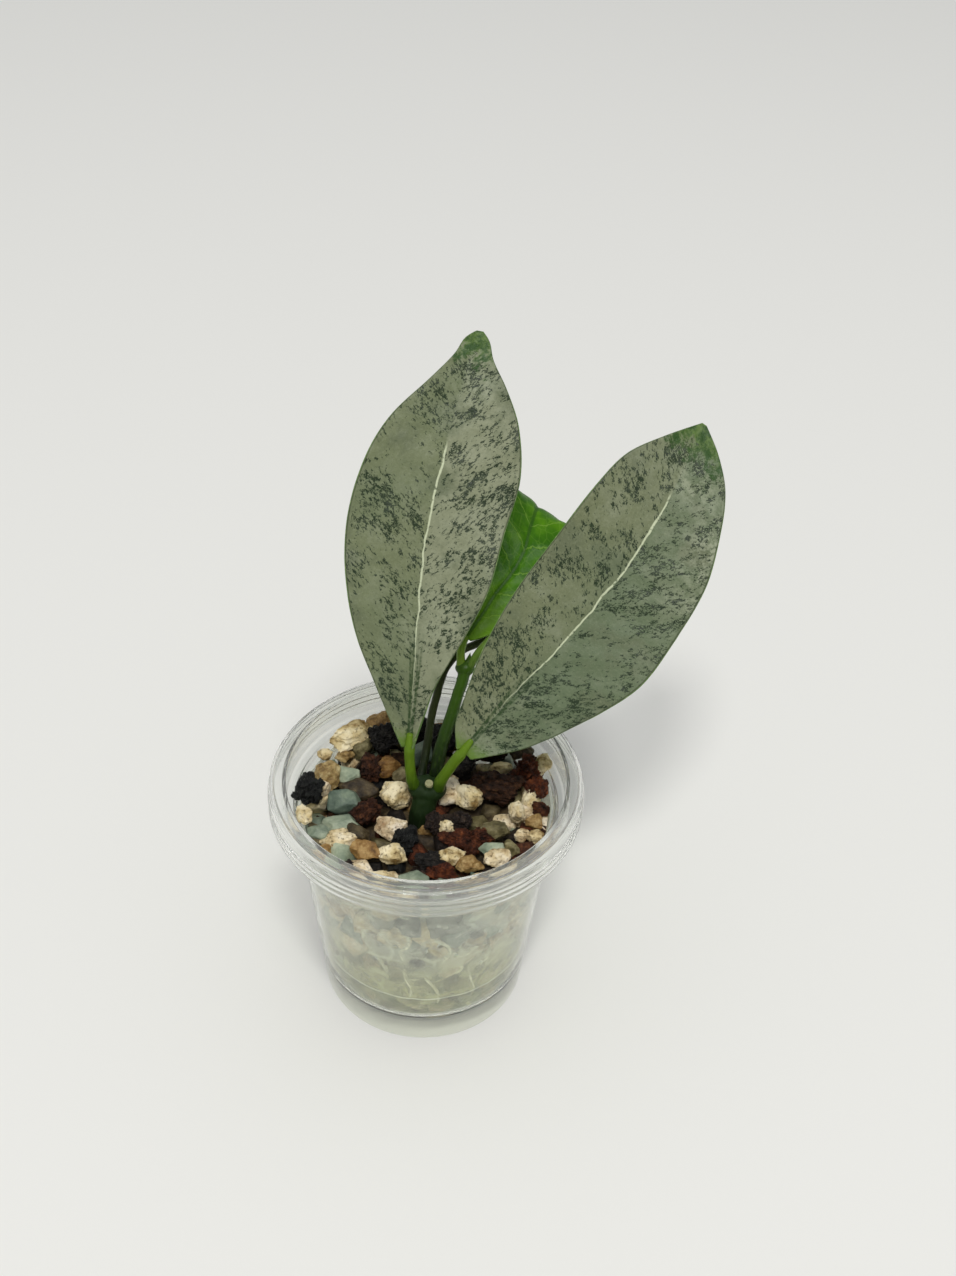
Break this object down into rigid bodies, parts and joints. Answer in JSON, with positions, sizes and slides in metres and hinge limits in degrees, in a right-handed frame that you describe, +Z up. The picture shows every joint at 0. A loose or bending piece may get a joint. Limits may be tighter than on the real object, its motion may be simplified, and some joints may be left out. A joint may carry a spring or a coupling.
{
  "type": "potted hoya amicabilis",
  "caption": "Young hoya cutting with broad silver-green leaves, rooted in loose mineral stones in a clear plastic cup; stands on its foot ring.",
  "frame": {"origin": "the middle of the underside of the whole plant's box, at the height of the surface that the cup stands on", "axes": "+Z up along the cup's axis; -Y is the side that the two silver leaves face, +X to the right seen from there"},
  "size_m": [0.108, 0.1018, 0.1717],
  "materials": {
    "clear_plastic": "thin clear polypropylene, faintly hazy",
    "stones": "dry porous mineral stones: cream pumice, black and red lava, grey-green zeolite",
    "root": "pale live root",
    "old_stem": "smooth dark green stem skin",
    "silver_leaf": "thick waxy leaf, silver grey-green with dark green flecks",
    "green_shoot": "smooth green stem skin",
    "dark_shoot": "dark brown-green stem skin",
    "fresh_leaf": "young glossy bright green leaf"
  },
  "bodies": {
    "root": {"cup": "clear_plastic", "growing_mix": "stones", "roots": "root", "main_stem": "old_stem", "leaf_left": "silver_leaf", "leaf_right": "silver_leaf", "shoot_right": "green_shoot", "shoot_left": "dark_shoot", "leaf_new": "fresh_leaf", "leaf_partner": "fresh_leaf"}
  },
  "joints": []
}
